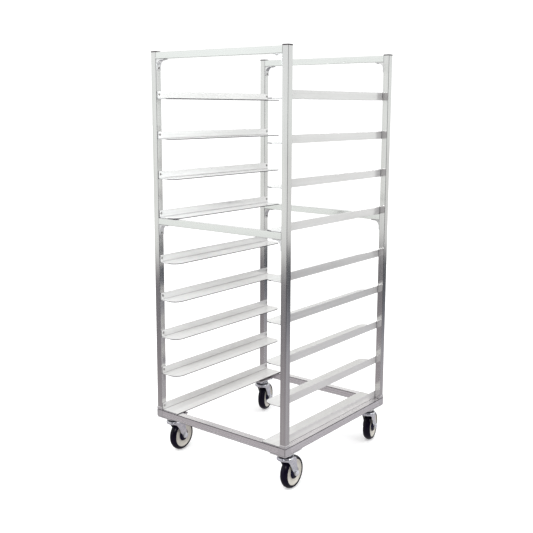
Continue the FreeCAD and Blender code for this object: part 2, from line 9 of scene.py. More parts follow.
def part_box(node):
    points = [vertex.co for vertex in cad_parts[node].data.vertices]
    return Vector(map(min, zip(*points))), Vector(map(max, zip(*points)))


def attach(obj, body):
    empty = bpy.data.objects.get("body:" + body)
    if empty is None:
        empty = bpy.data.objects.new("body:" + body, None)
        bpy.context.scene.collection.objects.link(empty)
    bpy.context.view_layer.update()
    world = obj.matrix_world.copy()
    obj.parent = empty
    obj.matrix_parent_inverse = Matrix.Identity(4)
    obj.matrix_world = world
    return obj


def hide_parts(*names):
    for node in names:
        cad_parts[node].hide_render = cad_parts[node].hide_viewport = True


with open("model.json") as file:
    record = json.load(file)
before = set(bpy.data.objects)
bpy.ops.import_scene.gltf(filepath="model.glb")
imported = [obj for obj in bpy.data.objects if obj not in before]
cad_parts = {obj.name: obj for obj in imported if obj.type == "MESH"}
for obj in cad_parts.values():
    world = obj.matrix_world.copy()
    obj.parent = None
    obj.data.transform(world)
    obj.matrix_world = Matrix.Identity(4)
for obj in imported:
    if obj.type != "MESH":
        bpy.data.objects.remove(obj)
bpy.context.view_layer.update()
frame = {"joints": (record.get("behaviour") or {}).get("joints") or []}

MM = 0.001
CORNERS = {
    "front_left": (-1, -1),
    "front_right": (1, -1),
    "rear_left": (-1, 1),
    "rear_right": (1, 1),
}
LEVELS = range(1, 10)

# Sizes in millimetres that the CAD boxes don't give directly.
POST_SIDE = 25.4
TUBE_WALL = 1.6
TUBE_CORNER = 1.5
# The outer edge of a tube's end is broken by this much.
TUBE_TRIM = 0.25
# Play between a tube and the plug or spigot inside it.
FIT_GAP = 0.2
POST_PLUG = POST_SIDE - 2 * TUBE_WALL - 2 * FIT_GAP
CAP_THICK = 4.0
CAP_OVERHANG = 1.0
CAP_CORNER = 2.4
PLUG_DEEP = 12.0
LEDGE_THICK = 3.0
LEDGE_CORNER = 38.0
WEB_THICK = 2.5
WEB_BEND = 3.0
WEB_HIGH = 30.0
SLIDE_EDGE = 0.5
SLIDE_RIVET_UP = 18.0
RIVET_GRIP = 2.0
GUSSET_ARM = 40.0
GUSSET_THICK = 4.0
GUSSET_WIDTH = 23.0
GUSSET_FILLET = 22.0
GUSSET_RIVET_OUT = 33.0
BASE_WALL = 2.0
BASE_TUBE_CORNER = 1.8
BASE_BLOCK = 32.0
BASE_CHAMFER = 1.2
# A base corner stands past its post by BASE_OVER, as a collar of this height.
BASE_OVER = 1.5
COLLAR_HIGH = 12.0
PAD_THICK = 4.0
PAD_CORNER = 5.0
SPIGOT_HIGH = 14.0
SPIGOT_REACH = 25.0
# Mitre seam of a base corner: distance from the arris, width and depth.
SEAM = (1.0, 2.2, 2.0)
PLATE_THICK = 3.0
PLATE_SIZE = (63.5, 92.0)
PLATE_CORNER = 8.0
# Place of a plate's bolts, across and along from its centre, and their hexagon.
PLATE_BOLTS = (22.2, 36.5)
BOLT_FLATS = 12.7
CROWN_RADIUS = 33.0
CROWN_HEIGHT = 12.6
KING_PIN_DROP = 7.5
LEG_INSIDE = 19.5
LEG_THICK = 3.0
# A leg spans this many degrees of the crown to each side, and ends round an eye of this radius.
LEG_HALF_ANGLE = 62.0
LEG_EYE = 12.5
LEG_RIB = 0.9
SHEET_THICK = 2.0
AXLE_FLATS = 20.0
WASHER_THICK = 1.5
TREAD_CROWN = 20.0
TRAIL = 42.0

# Faces in each rounded corner of an outline.
ROUND_STEPS = 4
# Values of the painted shade attribute, which darkens faces of the metal with painted shade.
FREE_EDGE, SLIDE_END, FOLD = 1.0, 0.45, 0.35


# ---------------------------------------------------------------- materials


class Nodes:
    """Builds the nodes of one tree."""

    def __init__(self, tree):
        self.tree = tree

    def add(self, kind, **settings):
        """New node with its properties set."""
        node = self.tree.nodes.new(kind)
        for name, value in settings.items():
            setattr(node, name, value)
        return node

    def feed(self, socket, value):
        """Link an output, or set a plain value."""
        if isinstance(value, bpy.types.NodeSocket):
            self.tree.links.new(value, socket)
        else:
            socket.default_value = value

    def spread(self, value, low, high, start=0.3, end=0.7):
        """Map start..end onto low..high."""
        node = self.add("ShaderNodeMapRange")
        self.feed(node.inputs["Value"], value)
        node.inputs["From Min"].default_value = start
        node.inputs["From Max"].default_value = end
        node.inputs["To Min"].default_value = low
        node.inputs["To Max"].default_value = high
        return node.outputs["Result"]

    def maths(self, operation, first, second):
        node = self.add("ShaderNodeMath", operation=operation)
        self.feed(node.inputs[0], first)
        self.feed(node.inputs[1], second)
        return node.outputs["Value"]

    def mix(self, share, first, second):
        """Colour between first and second."""
        node = self.add("ShaderNodeMix", data_type="RGBA")
        self.feed(node.inputs["Factor"], share)
        self.feed(node.inputs["A"], first if not isinstance(first, tuple) else (*first, 1.0))
        self.feed(node.inputs["B"], second if not isinstance(second, tuple) else (*second, 1.0))
        return node.outputs["Result"]

    def vector(self, operation, first, second=None):
        """Vector maths: a number for a dot product or a length, otherwise a vector."""
        node = self.add("ShaderNodeVectorMath", operation=operation)
        self.feed(node.inputs[0], first)
        if second is not None:
            self.feed(node.inputs[1], second)
        return node.outputs["Value" if operation in ("DOT_PRODUCT", "LENGTH") else "Vector"]

    def ramp(self, share, steps):
        """Colour ramp through (place, colour) steps."""
        node = self.add("ShaderNodeValToRGB")
        self.feed(node.inputs["Fac"], share)
        elements = node.color_ramp.elements
        while len(elements) < len(steps):
            elements.new(0.5)
        for element, (place, colour) in zip(elements, steps):
            element.position = place
            element.color = (*colour, 1.0)
        return node.outputs["Color"]


class Shader(Nodes):
    """Builds one material's nodes around its Principled shader."""

    def __init__(self, name):
        self.material = bpy.data.materials.new(name)
        self.material.use_nodes = True
        super().__init__(self.material.node_tree)
        self.bsdf = self.tree.nodes["Principled BSDF"]
        self.place = self.add("ShaderNodeTexCoord").outputs["Object"]

    def noise(self, scale, stretch=(1, 1, 1), detail=3.0, rough=0.55):
        """Noise in the part's own coordinates; a stretch below 1 draws it out along that axis."""
        mapping = self.add("ShaderNodeMapping")
        self.feed(mapping.inputs["Vector"], self.place)
        mapping.inputs["Scale"].default_value = stretch
        noise = self.add("ShaderNodeTexNoise")
        self.feed(noise.inputs["Vector"], mapping.outputs["Vector"])
        noise.inputs["Scale"].default_value = scale
        noise.inputs["Detail"].default_value = detail
        noise.inputs["Roughness"].default_value = rough
        return noise.outputs["Fac"]

    def edges(self, radius):
        """1 along sharp edges, 0 on flats."""
        bevel = self.add("ShaderNodeBevel", samples=4)
        bevel.inputs["Radius"].default_value = radius
        normal = self.add("ShaderNodeNewGeometry").outputs["Normal"]
        turn = self.maths("SUBTRACT", 1.0, self.vector("DOT_PRODUCT", bevel.outputs["Normal"], normal))
        return self.spread(turn, 0.0, 1.0, 0.02, 0.25)

    def with_painted_shade(self, colour):
        """The colour, darkened with painted shade where the mesh's painted shade attribute says so."""
        share = self.add("ShaderNodeAttribute", attribute_name="painted_shade").outputs["Fac"]
        return self.mix(share, colour, (0.03, 0.024, 0.036))

    def hollows(self, distance, low, high):
        """0 deep in corners and gaps, 1 in the open; the materials paint shade with it."""
        node = self.add("ShaderNodeAmbientOcclusion", samples=6)
        node.inputs["Distance"].default_value = distance
        return self.spread(node.outputs["AO"], 0.0, 1.0, low, high)

    def bump(self, height, strength, distance):
        node = self.add("ShaderNodeBump")
        node.inputs["Strength"].default_value = strength
        node.inputs["Distance"].default_value = distance
        self.feed(node.inputs["Height"], height)
        self.feed(self.bsdf.inputs["Normal"], node.outputs["Normal"])

    def finish(self, colour, roughness, metallic=0.0, **constants):
        """Connect the surface; the constants are Principled inputs in lower case."""
        self.feed(self.bsdf.inputs["Base Color"], colour)
        self.feed(self.bsdf.inputs["Roughness"], roughness)
        self.bsdf.inputs["Metallic"].default_value = metallic
        for name, value in constants.items():
            self.bsdf.inputs[name.replace("_", " ").title().replace("Ior", "IOR")].default_value = value
        return self.material


def extruded(
    name, along, light, dark, rough, metallic=0.95, edge=(0.93, 0.93, 0.93), hollow_shade=(0.20, 0.17, 0.20)
):
    """Mill-finish aluminium with die lines along one axis (0 X, 1 Y, 2 Z)."""
    shader = Shader(name)

    def drawn_out(stretch):
        """Stretch along the die lines only."""
        return [stretch if axis == along else 1.0 for axis in range(3)]

    lines = shader.noise(240.0, drawn_out(0.004), detail=1.0, rough=0.5)
    cloud = shader.noise(6.0, detail=2.0)
    bands = shader.noise(60.0, drawn_out(0.03), detail=1.0)
    share = shader.maths("MULTIPLY", lines, 0.40)
    share = shader.maths("ADD", share, shader.maths("MULTIPLY", cloud, 0.30))
    share = shader.maths("ADD", share, shader.maths("MULTIPLY", bands, 0.30))
    colour = shader.mix(shader.spread(share, 0.0, 1.0, 0.36, 0.64), dark, light)
    # Sharp edges go towards the edge colour: light rubbed wear with the default, painted dark shade where a
    # dark edge colour is given.
    sharp_edges = shader.edges(0.0007)
    edge_wear_and_shade = shader.maths("MULTIPLY", sharp_edges, shader.spread(cloud, 0.35, 0.85))
    colour = shader.mix(edge_wear_and_shade, colour, edge)
    # Painted shade: corners and gaps darken towards the hollow colour, and the marked faces towards near
    # black.
    colour = shader.mix(shader.hollows(0.004, 0.3, 0.8), hollow_shade, colour)
    colour = shader.with_painted_shade(colour)
    roughness = shader.spread(share, rough - 0.03, rough + 0.04, 0.36, 0.64)
    shader.bump(lines, 0.02, 0.0002)
    return shader.finish(colour, roughness, metallic=metallic)


def cast_metal(name, light, dark, metallic):
    """Sand-cast and tumbled aluminium: grainy, without direction."""
    shader = Shader(name)
    grains = shader.noise(420.0, detail=3.0, rough=0.7)
    cloud = shader.noise(35.0)
    share = shader.maths("ADD", shader.maths("MULTIPLY", grains, 0.5), shader.maths("MULTIPLY", cloud, 0.5))
    colour = shader.mix(shader.spread(share, 0.0, 1.0, 0.35, 0.65), dark, light)
    colour = shader.mix(shader.maths("MULTIPLY", shader.edges(0.0008), 0.5), colour, (0.88, 0.88, 0.88))
    # Painted shade: corners and gaps darken towards dark grey, and the marked faces towards near black.
    colour = shader.mix(shader.hollows(0.004, 0.3, 0.8), (0.10, 0.085, 0.10), colour)
    colour = shader.with_painted_shade(colour)
    roughness = shader.spread(share, 0.30, 0.42, 0.35, 0.65)
    shader.bump(grains, 0.10, 0.0003)
    return shader.finish(colour, roughness, metallic=metallic)


def plated(name, light, dark, metallic):
    """Bright zinc plate on steel, with a faint blue cast and painted near-black shade in its hollows."""
    shader = Shader(name)
    cloud = shader.noise(55.0, detail=4.0)
    grains = shader.noise(900.0, detail=3.0)
    colour = shader.mix(shader.spread(cloud, 0.0, 1.0), dark, light)
    colour = shader.mix(shader.maths("MULTIPLY", shader.edges(0.0008), 0.5), colour, (0.95, 0.95, 0.97))
    # Painted shade: near black in corners and gaps.
    colour = shader.mix(shader.hollows(0.03, 0.25, 0.75), (0.012, 0.010, 0.018), colour)
    roughness = shader.maths(
        "ADD", shader.spread(cloud, 0.10, 0.20), shader.maths("MULTIPLY", grains, 0.06)
    )
    shader.bump(shader.maths("ADD", cloud, shader.maths("MULTIPLY", grains, 0.3)), 0.16, 0.0006)
    return shader.finish(colour, roughness, metallic=metallic)


def rivet_metal():
    """Dull steel rivets, darker in the mandrel recess."""
    shader = Shader("rivet_steel")
    grains = shader.noise(1500.0, detail=3.0)
    colour = shader.mix(shader.spread(grains, 0.0, 1.0), (0.30, 0.29, 0.29), (0.52, 0.51, 0.50))
    colour = shader.mix(shader.maths("MULTIPLY", shader.edges(0.0005), 0.4), colour, (0.8, 0.8, 0.8))
    shader.bump(grains, 0.1, 0.0002)
    return shader.finish(colour, shader.spread(grains, 0.30, 0.45), metallic=1.0)


def moulded(name, light, dark, low, high, grain=0.12, coat=0.0, specular=0.5):
    """Moulded plastic: slight mottling, fine grain and rubbed edges."""
    shader = Shader(name)
    grains = shader.noise(1040.0, detail=4.0)
    cloud = shader.noise(260.0 / 6.0, detail=3.0)
    colour = shader.mix(shader.spread(cloud, 0.0, 1.0), dark, light)
    rubbed = tuple(min(1.0, 1.25 * channel + 0.02) for channel in light)
    colour = shader.mix(shader.maths("MULTIPLY", shader.edges(0.0008), 0.5), colour, rubbed)
    shader.bump(grains, grain, 0.0002)
    return shader.finish(
        colour,
        shader.spread(grains, low, high),
        specular_ior_level=specular,
        coat_weight=coat,
        coat_roughness=0.12,
    )


def tyre_rubber():
    """Hard dark blue-black polyurethane, scuffed where it rolls."""
    shader = Shader("tyre_rubber")
    scuffs = shader.noise(160.0, detail=5.0, rough=0.7)
    cloud = shader.noise(30.0)
    colour = shader.mix(shader.spread(cloud, 0.0, 1.0), (0.002, 0.001, 0.006), (0.005, 0.003, 0.014))
    colour = shader.mix(shader.spread(scuffs, 0.0, 0.25, 0.55, 0.75), colour, (0.020, 0.014, 0.026))
    roughness = shader.spread(scuffs, 0.24, 0.40)
    shader.bump(scuffs, 0.12, 0.0004)
    return shader.finish(colour, roughness, specular_ior_level=0.1, coat_weight=0.15, coat_roughness=0.08)


POST_METAL = extruded("post_aluminium", 2, (0.785, 0.78, 0.77), (0.69, 0.68, 0.68), 0.12)
RAIL_METAL = extruded("rail_aluminium", 0, (0.855, 0.865, 0.85), (0.805, 0.815, 0.80), 0.12)
# The slides' dark edge colour paints shade along their arrises.
SLIDE_METAL = extruded(
    "slide_aluminium", 1, (0.82, 0.815, 0.81), (0.73, 0.725, 0.715), 0.16, 0.35, edge=(0.30, 0.29, 0.33)
)
# The base's dark edge colour paints shade along its arrises, and its hollow colour paints shade in its
# corners.
BASE_LOOK = {
    "light": (0.88, 0.865, 0.88),
    "dark": (0.82, 0.80, 0.81),
    "rough": 0.26,
    "metallic": 0.85,
    "edge": (0.30, 0.26, 0.30),
    "hollow_shade": (0.50, 0.47, 0.50),
}
BASE_METAL = {
    0: extruded("base_aluminium_x", 0, **BASE_LOOK),
    1: extruded("base_aluminium_y", 1, **BASE_LOOK),
}
CORNER_METAL = cast_metal("corner_aluminium", (0.85, 0.84, 0.85), (0.76, 0.75, 0.76), 0.9)
GUSSET_METAL = cast_metal("gusset_aluminium", (0.82, 0.82, 0.82), (0.70, 0.69, 0.695), 0.7)
ZINC = plated("caster_zinc", (0.94, 0.95, 0.98), (0.68, 0.70, 0.78), 0.80)
BOLT_ZINC = plated("bolt_zinc", (1.0, 1.0, 1.0), (0.80, 0.83, 0.92), 0.50)
RIVET_METAL = rivet_metal()
CAP_PLASTIC = moulded("cap_plastic", (0.035, 0.026, 0.030), (0.018, 0.012, 0.015), 0.50, 0.65)
WHEEL_PLASTIC = moulded(
    "wheel_plastic", (0.76, 0.735, 0.66), (0.66, 0.635, 0.565), 0.25, 0.40, grain=0.05, coat=0.2
)
GUARD_PLASTIC = moulded(
    "guard_plastic", (0.008, 0.007, 0.030), (0.004, 0.003, 0.012), 0.14, 0.26, 0.05, coat=0.08, specular=0.12
)
TYRE = tyre_rubber()


# ---------------------------------------------------------------- mesh helpers


def place_object(name, data):
    """New object round the data, in the scene."""
    made = bpy.data.objects.new(name, data)
    bpy.context.scene.collection.objects.link(made)
    return made


def mesh_object(name, bm, material):
    """New object whose mesh is the bmesh, which is freed."""
    mesh = bpy.data.meshes.new(name)
    bm.to_mesh(mesh)
    bm.free()
    mesh.materials.append(material)
    return place_object(name, mesh)


def add_piece(name, bm, material, body, nodes, sharp=32.0):
    """Turn a bmesh in millimetres into a piece that rides on a body and replaces CAD nodes."""
    bmesh.ops.scale(bm, vec=(MM, MM, MM), verts=bm.verts)
    bmesh.ops.recalc_face_normals(bm, faces=bm.faces)
    limit = math.radians(sharp)
    for face in bm.faces:
        face.smooth = True
    for edge in bm.edges:
        edge.smooth = len(edge.link_faces) == 2 and edge.calc_face_angle(0.0) < limit
    piece = mesh_object(name, bm, material)
    weighted = piece.modifiers.new("weighted_normals", "WEIGHTED_NORMAL")
    weighted.keep_sharp = True
    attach(piece, body)
    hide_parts(*nodes)


def box_mm(node):
    """Low and high corner of a CAD node in millimetres."""
    low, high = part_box(node)
    return low / MM, high / MM


def rounded_rectangle(width, height, radius, steps=ROUND_STEPS):
    """Loop of points round a rectangle centred on the origin, with rounded corners."""
    points = []
    for quarter, (sx, sy) in enumerate(((1, 1), (-1, 1), (-1, -1), (1, -1))):
        centre = (sx * (width / 2 - radius), sy * (height / 2 - radius))
        for step in range(steps + 1):
            angle = math.radians(90 * (quarter + step / steps))
            points.append((centre[0] + radius * math.cos(angle), centre[1] + radius * math.sin(angle)))
    return points


def new_rings(bm, loops):
    """Vertices for each loop of points."""
    return [[bm.verts.new(point) for point in loop] for loop in loops]


def join_rings(bm, one, other):
    """Quads between two closed rings of equal length, given back in order."""
    faces = []
    for index in range(len(one)):
        following = (index + 1) % len(one)
        faces.append(bm.faces.new((one[index], one[following], other[following], other[index])))
    return faces


def move(bm, rings, matrix):
    """Transform every vertex of the rings."""
    bmesh.ops.transform(bm, matrix=matrix, verts=[vert for ring in rings for vert in ring])


def skin(bm, loops):
    """Quads between closed loops of equal length, with a face over the first and the last."""
    rings = new_rings(bm, loops)
    for one, other in zip(rings, rings[1:]):
        join_rings(bm, one, other)
    bm.faces.new(rings[0][::-1])
    bm.faces.new(rings[-1])
    return rings


def prism(bm, outline, low, high, chamfer, matrix):
    """Upright prism over an outline, its top and bottom edges chamfered by insetting the loop."""
    inner = inset(outline, chamfer)
    loops = [
        [(x, y, low) for x, y in inner],
        [(x, y, low + chamfer) for x, y in outline],
        [(x, y, high - chamfer) for x, y in outline],
        [(x, y, high) for x, y in inner],
    ]
    rings = skin(bm, loops)
    move(bm, rings, matrix)
    return rings


def inset(outline, depth):
    """The outline moved inwards by depth (it runs counter-clockwise)."""
    count = len(outline)
    moved = []
    for index in range(count):
        before, here, after = (Vector(outline[(index + k) % count]) for k in (-1, 0, 1))
        one = (here - before).normalized()
        two = (after - here).normalized()
        normal = Vector((-(one.y + two.y), one.x + two.x))
        if normal.length < 1e-6:
            normal = Vector((-one.y, one.x))
        normal.normalize()
        # At a sharp corner the point moves no further than depth / 0.35.
        lean = max(0.35, normal.dot(Vector((-one.y, one.x))))
        moved.append(tuple(here + normal * depth / lean))
    return moved


def turned(bm, profile, matrix, segments=48, axis="X"):
    """Solid of revolution about X or Z from a closed loop of (along, radius) points."""
    loops = []
    for step in range(segments):
        angle = 2 * math.pi * step / segments
        across, up = math.cos(angle), math.sin(angle)
        if axis == "X":
            loops.append([(along, radius * across, radius * up) for along, radius in profile])
        else:
            loops.append([(radius * across, radius * up, along) for along, radius in profile])
    rings = new_rings(bm, loops)
    for one, other in zip(rings, rings[1:] + rings[:1]):
        join_rings(bm, one, other)
    move(bm, rings, matrix)
    bmesh.ops.remove_doubles(bm, verts=[vert for ring in rings for vert in ring], dist=0.0005)


def tube(node, along, wall, radius, material, slot, corner_shade=0.0):
    """Rounded rectangular tube that fills a CAD node's box, open at both ends.

    The last argument is the value of painted shade on its four rounded corners, darkening its arrises."""
    low, high = box_mm(node)
    centre = (low + high) / 2
    span = high - low
    first, second = [axis for axis in range(3) if axis != along]
    outer = rounded_rectangle(span[first], span[second], radius)
    inner = rounded_rectangle(span[first] - 2 * wall, span[second] - 2 * wall, max(radius - wall, 0.5))
    rounded_end = inset(outer, TUBE_TRIM)
    half = span[along] / 2

    def lift(points, distance):
        placed = []
        for point in points:
            place = centre.copy()
            place[first] += point[0]
            place[second] += point[1]
            place[along] += distance
            placed.append(tuple(place))
        return placed

    bm = bmesh.new()
    loops = [
        lift(outer, -half + TUBE_TRIM),
        lift(outer, half - TUBE_TRIM),
        lift(rounded_end, half),
        lift(inner, half),
        lift(inner, -half),
        lift(rounded_end, -half),
    ]
    layer = bm.faces.layers.float.new("painted_shade")
    rings = new_rings(bm, loops)
    walls = [join_rings(bm, one, other) for one, other in zip(rings, rings[1:] + rings[:1])]
    # The outer wall's rounded corners carry the painted shade.
    for index, face in enumerate(walls[0]):
        if index % (ROUND_STEPS + 1) < ROUND_STEPS:
            face[layer] = corner_shade
    add_piece("v_" + node, bm, material, "rack", [node])


# ---------------------------------------------------------------- frame pieces


def build_posts_and_rails():
    frame_tube = (TUBE_WALL, TUBE_CORNER)
    base_tube = (BASE_WALL, BASE_TUBE_CORNER)
    for corner in CORNERS:
        tube("post_" + corner, 2, *frame_tube, POST_METAL, "frame_aluminium")
    for end in ("front", "rear"):
        for height in ("top", "mid"):
            tube(height + "_rail_" + end, 0, *frame_tube, RAIL_METAL, "frame_aluminium")
        # The base rails get painted shade on their rounded corners.
        tube("base_rail_" + end, 0, *base_tube, BASE_METAL[0], "base_aluminium", corner_shade=1.0)
    for side in ("left", "right"):
        tube("base_rail_" + side, 1, *base_tube, BASE_METAL[1], "base_aluminium", corner_shade=1.0)


def build_caps():
    bm = bmesh.new()
    for corner in CORNERS:
        low, high = box_mm("post_" + corner)
        centre = (low + high) / 2
        top = high.z
        side = POST_SIDE + 2 * CAP_OVERHANG
        lid = rounded_rectangle(side, side, CAP_CORNER)
        loops = [
            [(x, y, top) for x, y in inset(lid, 0.3)],
            [(x, y, top + 0.3) for x, y in lid],
            [(x, y, top + CAP_THICK - 1.5) for x, y in lid],
            [(x, y, top + CAP_THICK - 0.5) for x, y in inset(lid, 0.6)],
            [(x, y, top + CAP_THICK) for x, y in inset(lid, 1.9)],
        ]
        rings = skin(bm, loops)
        plug = rounded_rectangle(POST_PLUG, POST_PLUG, 1.0)
        loops = [
            [(x, y, top - PLUG_DEEP) for x, y in inset(plug, 0.8)],
            [(x, y, top - PLUG_DEEP + 1.0) for x, y in plug],
            [(x, y, top - 0.05) for x, y in plug],
        ]
        rings += skin(bm, loops)
        move(bm, rings, Matrix.Translation((centre.x, centre.y, 0)))
    add_piece("v_post_caps", bm, CAP_PLASTIC, "rack", ["post_caps"])


# Points of slide_section that lie round the ledge's free edge and inside the fold.
EDGE_POINTS = range(1, 5)
FOLD_POINTS = range(6, 11)


def slide_section(tip, shrink):
    """L section as (x, z) points; shrink pulls every edge in, for the chamfered ends."""
    edge = SLIDE_EDGE
    reach = WEB_BEND + shrink
    bend = []
    for step in range(7):
        angle = math.radians(90 * step / 6)
        bend.append(
            (
                WEB_THICK + WEB_BEND - reach * math.cos(angle),
                LEDGE_THICK + WEB_BEND - reach * math.sin(angle),
            )
        )
    points = [
        (edge, shrink),
        (tip - edge, shrink),
        (tip - shrink, edge),
        (tip - shrink, LEDGE_THICK - edge),
        (tip - edge, LEDGE_THICK - shrink),
    ]
    points += bend[::-1]
    points += [
        (WEB_THICK - shrink, WEB_HIGH - edge),
        (WEB_THICK - edge, WEB_HIGH - shrink),
        (edge, WEB_HIGH - shrink),
        (shrink, WEB_HIGH - edge),
        (shrink, edge),
    ]
    return points


def mark_edges(bm, rings):
    """Set full painted shade on a slide's free edge, and less on its two ends and inside its fold."""
    layer = bm.faces.layers.float.new("painted_shade")
    first, last = set(rings[0]), set(rings[-1])
    free = {ring[index] for ring in rings for index in EDGE_POINTS}
    fold = {ring[index] for ring in rings for index in FOLD_POINTS}
    for face in bm.faces:
        corners = set(face.verts)
        if corners <= free:
            face[layer] = FREE_EDGE
        elif corners <= first or corners <= last:
            face[layer] = SLIDE_END
        elif corners <= fold:
            face[layer] = FOLD


def build_slide(side, level):
    node = "slide_{}_{}".format(side, level)
    low, high = box_mm(node)
    half = (high.y - low.y) / 2
    width = high.x - low.x
    # Only the lowest pair has square ledge corners.
    corner = LEDGE_CORNER if level < LEVELS[-1] else 1.5
    chamfer = 0.35
    steps = 14
    stations = []
    for step in range(steps + 1):
        angle = math.radians(90 * step / steps)
        along = half - corner + corner * math.sin(angle)
        stations.append((min(along, half - chamfer), width - corner + corner * math.cos(angle)))
    ends = [(along, tip, 0.0) for along, tip in stations] + [(half, stations[-1][1], chamfer)]
    run = [(-along, tip, shrink) for along, tip, shrink in reversed(ends)] + ends
    mirror = 1 if side == "left" else -1
    face = low.x if side == "left" else high.x
    loops = []
    for along, tip, shrink in run:
        loops.append([(face + mirror * x, along, low.z + z) for x, z in slide_section(tip, shrink)])
    bm = bmesh.new()
    rings = skin(bm, loops)
    mark_edges(bm, rings)
    add_piece("v_" + node, bm, SLIDE_METAL, "rack", [node])


def rivet_profile(shank):
    """(along, radius) loop of a domed blind rivet with its mandrel recess, head at +along."""
    return [
        (-shank, 0.0),
        (-shank, 2.2),
        (-shank + 0.4, 2.4),
        (0.0, 2.4),
        (0.0, 4.75),
        (0.25, 4.8),
        (0.9, 4.35),
        (1.4, 3.4),
        (1.72, 2.2),
        (1.8, 1.35),
        (1.1, 1.2),
        (1.1, 0.0),
    ]


def build_rivets():
    bm = bmesh.new()
    post_low, post_high = box_mm("post_front_left")
    for level in LEVELS:
        low, _ = box_mm("slide_left_{}".format(level))
        for sign_x, sign_y in CORNERS.values():
            along = sign_y * abs((post_low.y + post_high.y) / 2)
            seat = Vector((sign_x * abs(low.x + WEB_THICK), along, low.z + SLIDE_RIVET_UP))
            turn = Matrix.Rotation(0 if sign_x < 0 else math.pi, 4, "Z")
            shank = WEB_THICK + TUBE_WALL + RIVET_GRIP
            turned(bm, rivet_profile(shank), Matrix.Translation(seat) @ turn, segments=20)
    add_piece("v_slide_rivets", bm, RIVET_METAL, "rack", ["slide_rivets"])


def gusset_places():
    """Matrix of each gusset's inner corner: +X along the rail, -Z down the post."""
    places = []
    for height in ("top", "mid"):
        low, high = box_mm(height + "_rail_front")
        for sign_x, sign_y in CORNERS.values():
            corner = Vector((sign_x * abs(low.x), sign_y * abs((low.y + high.y) / 2), low.z))
            turn = Matrix.Rotation(0 if sign_x < 0 else math.pi, 4, "Z")
            places.append(Matrix.Translation(corner) @ turn)
    return places


def build_gussets():
    arm, seat, fillet = GUSSET_ARM, GUSSET_THICK, GUSSET_FILLET
    outline = [(0.0, 0.0), (0.0, -arm), (seat - 0.8, -arm), (seat, 1.5 - arm)]
    steps = 12
    for step in range(steps + 1):
        angle = math.radians(180 - 90 * step / steps)
        outline.append((seat + fillet * (1 + math.cos(angle)), -seat - fillet * (1 - math.sin(angle))))
    outline += [(arm - 1.5, -seat), (arm, 0.8 - seat), (arm, 0.0)]
    # The prism stands on Z, so it is laid over: its height becomes the gusset's width along Y.
    lay = Matrix(((1, 0, 0, 0), (0, 0, 1, 0), (0, 1, 0, 0), (0, 0, 0, 1)))
    bm = bmesh.new()
    for place in gusset_places():
        prism(bm, outline, -GUSSET_WIDTH / 2, GUSSET_WIDTH / 2, 0.7, place @ lay)
    add_piece("v_gussets", bm, GUSSET_METAL, "rack", ["gussets"])
    bm = bmesh.new()
    sideways = Matrix.Translation((seat, 0, -GUSSET_RIVET_OUT))
    upwards = Matrix.Translation((GUSSET_RIVET_OUT, 0, -seat)) @ Matrix.Rotation(math.pi / 2, 4, "Y")
    for place in gusset_places():
        for own in (sideways, upwards):
            turned(bm, rivet_profile(seat + TUBE_WALL + RIVET_GRIP), place @ own, segments=20)
    add_piece("v_gusset_rivets", bm, RIVET_METAL, "rack", ["gusset_rivets"])


def build_base_corner(corner, sign_x, sign_y):
    node = "base_corner_" + corner
    low, high = box_mm(node)
    out = Vector((high.x if sign_x > 0 else low.x, high.y if sign_y > 0 else low.y))
    top = box_mm("post_" + corner)[0].z
    pad_high = low.z + PAD_THICK
    bm = bmesh.new()

    def corner_box(near, far, bottom, height, radius, chamfer):
        """Rounded block between two depths measured in from the outer corner."""
        width, depth = far[0] - near[0], far[1] - near[1]
        middle = ((near[0] + far[0]) / 2, (near[1] + far[1]) / 2)
        shape = rounded_rectangle(width, depth, radius)
        place = Matrix.Translation((out.x - sign_x * middle[0], out.y - sign_y * middle[1], 0))
        prism(bm, shape, bottom, bottom + height, chamfer, place)

    # Block with the mitre seam of its two outer faces as a groove beside the arris. The sloped rims at its
    # top and bottom are darkened with painted shade.
    near, wide, deep = SEAM
    far = near + wide
    shape = [(0.0, 0.0), (near, 0.0), (near, deep), (far, deep), (far, 0.0)]
    shape += [(BASE_BLOCK, 0.0), (BASE_BLOCK, BASE_BLOCK), (0.0, BASE_BLOCK)]
    place = Matrix.Translation((out.x, out.y, 0)) @ Matrix.Diagonal((-sign_x, -sign_y, 1, 1))
    rings = prism(bm, shape, pad_high, top, BASE_CHAMFER, place)
    layer = bm.faces.layers.float.new("painted_shade")
    rims = [set(rings[0] + rings[1]), set(rings[2] + rings[3])]
    for face in bm.faces:
        sloped = len(face.verts) == 4 and any(set(face.verts) <= rim for rim in rims)
        face[layer] = float(sloped)

    corner_box((0, 0), (high.x - low.x, high.y - low.y), low.z, PAD_THICK, PAD_CORNER, 0.6)
    start = BASE_OVER + TUBE_WALL + FIT_GAP
    corner_box((start, start), (start + POST_PLUG, start + POST_PLUG), top, SPIGOT_HIGH, 1.0, 0.5)
    edge = BASE_WALL + FIT_GAP
    side = BASE_BLOCK - edge
    tall = top - pad_high - 2 * edge
    reach = BASE_BLOCK + SPIGOT_REACH
    corner_box((edge, edge), (reach, side), pad_high + edge, tall, 1.0, 0.5)
    corner_box((edge, edge), (side, reach), pad_high + edge, tall, 1.0, 0.5)

    # Collar on the post's two outer faces, with a groove at its foot and a sloped top edge.
    over, length = BASE_OVER, BASE_OVER + POST_SIDE
    shape = [(0, 0), (length, 0), (length, over), (over, over), (over, length), (0, length)]
    loops = []
    for depth, height in ((1.3, 0.0), (1.3, 1.8), (0.0, 2.6), (0.0, COLLAR_HIGH - 1.2), (0.9, COLLAR_HIGH)):
        drawn_in = [(max(x, depth), max(y, depth)) for x, y in shape]
        loops.append([(out.x - sign_x * x, out.y - sign_y * y, top + height) for x, y in drawn_in])
    skin(bm, loops)
    add_piece("v_" + node, bm, CORNER_METAL, "rack", [node])


# ---------------------------------------------------------------- casters


